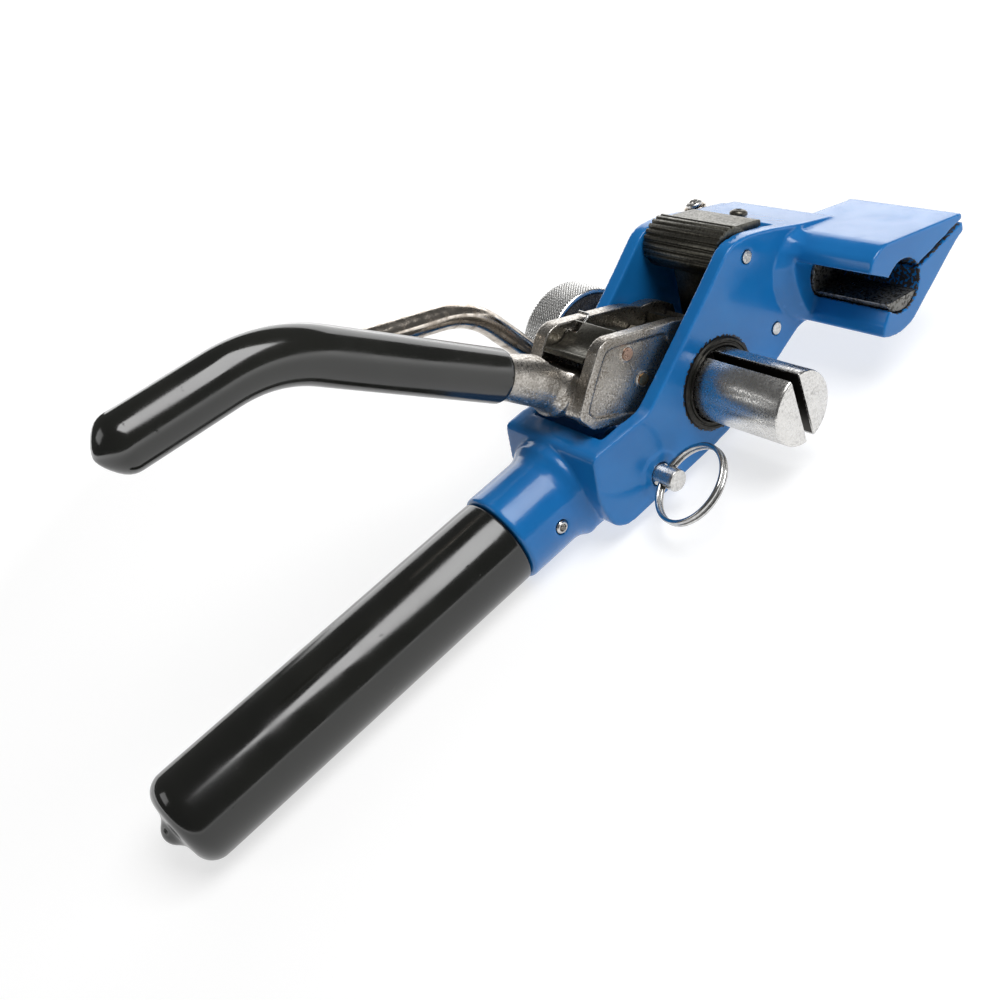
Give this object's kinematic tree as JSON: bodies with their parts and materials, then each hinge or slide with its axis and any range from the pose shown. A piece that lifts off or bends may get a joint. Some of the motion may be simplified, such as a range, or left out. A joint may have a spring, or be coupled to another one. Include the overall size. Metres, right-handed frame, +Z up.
{
  "type": "strapping tensioner tool",
  "caption": "Windlass strap tensioner: ratchet lever turns a slotted shaft through a blue cast body, with a nose slit and half-moon cutter for the strap.",
  "frame": {"origin": "centre of the bounding box in plan, at the level of the lowest point of the handle socket", "axes": "+X forwards from the main handle to the nose tip, +Y to the tool's left (the knob side), +Z up, with the main handle along X"},
  "size_m": [0.3008, 0.1124, 0.127],
  "materials": {
    "blue_enamel": "gloss enamel on a casting",
    "black_vinyl": "glossy dipped vinyl",
    "zinc_plate": "zinc plated, speckled satin",
    "cast_nickel": "nickel plated casting with dark recesses",
    "blackened_steel": "black oxide, oiled",
    "bronze": "satin",
    "bright_steel": "ground bright",
    "bare_steel": "drawn tube"
  },
  "bodies": {
    "frame": {"body_casting": "blue_enamel", "handle_tube": "bare_steel", "handle_grip": "black_vinyl", "handle_set_screw": "zinc_plate", "windlass_bush_right": "blackened_steel", "windlass_bush_left": "bronze", "holding_pawl_pin": "bright_steel", "stop_pin": "bright_steel", "button_screw": "blackened_steel"},
    "windlass": {"windlass_shaft": "zinc_plate", "ratchet_wheel": "blackened_steel", "wheel_key": "bright_steel", "thrust_washer": "zinc_plate", "winding_knob": "zinc_plate", "knob_screw": "blackened_steel"},
    "lever": {"lever_head": "cast_nickel", "lever_rod": "bare_steel", "lever_grip": "black_vinyl", "drive_pawl_pin": "bright_steel", "lever_head_pin": "bronze", "drive_pawl_spring": "bright_steel"},
    "drive_pawl": {"drive_pawl": "blackened_steel"},
    "holding_pawl": {"holding_pawl": "blackened_steel"},
    "cutter": {"cutter_bar": "blackened_steel", "cutter_lever": "cast_nickel", "cutter_clamp_screw": "zinc_plate"},
    "pull_pin": {"pull_pin": "zinc_plate", "pull_pin_spring": "bright_steel"},
    "split_ring": {"split_ring": "zinc_plate"}
  },
  "joints": [
    {"name": "windlass_turn", "type": "hinge", "parent": "frame", "child": "windlass", "pos_m": [0.06307, 0.00205, 0.02425], "axis": [0, 1, 0], "continuous": true},
    {"name": "lever_swing", "type": "hinge", "parent": "frame", "child": "lever", "pos_m": [0.06307, 0.00205, 0.02425], "axis": [0, 1, 0], "range_deg": [0, 50]},
    {"name": "drive_pawl_tilt", "type": "hinge", "parent": "lever", "child": "drive_pawl", "pos_m": [0.03887, 0.00205, 0.05165], "axis": [0, -1, 0], "range_deg": [-6, 9], "stiffness_Nm_per_rad": 0.15},
    {"name": "holding_pawl_tilt", "type": "hinge", "parent": "frame", "child": "holding_pawl", "pos_m": [0.08857, 0.00205, 0.05525], "axis": [0, -1, 0], "range_deg": [-4, 30], "stiffness_Nm_per_rad": 0.3},
    {"name": "cutter_swing", "type": "hinge", "parent": "frame", "child": "cutter", "pos_m": [0.11737, 0.00205, 0.03155], "axis": [0, -1, 0], "range_deg": [0, 55]},
    {"name": "pull_pin_slide", "type": "slide", "parent": "frame", "child": "pull_pin", "axis": [0, -1, 0], "range_m": [0, 0.009], "stiffness_N_per_m": 400, "deforming": ["pull_pin_spring"]},
    {"name": "ring_swing", "type": "hinge", "parent": "pull_pin", "child": "split_ring", "pos_m": [0.03017, -0.02475, 0.01235], "axis": [0.8926, 0, 0.4509], "range_deg": [-70, 70]}
  ]
}
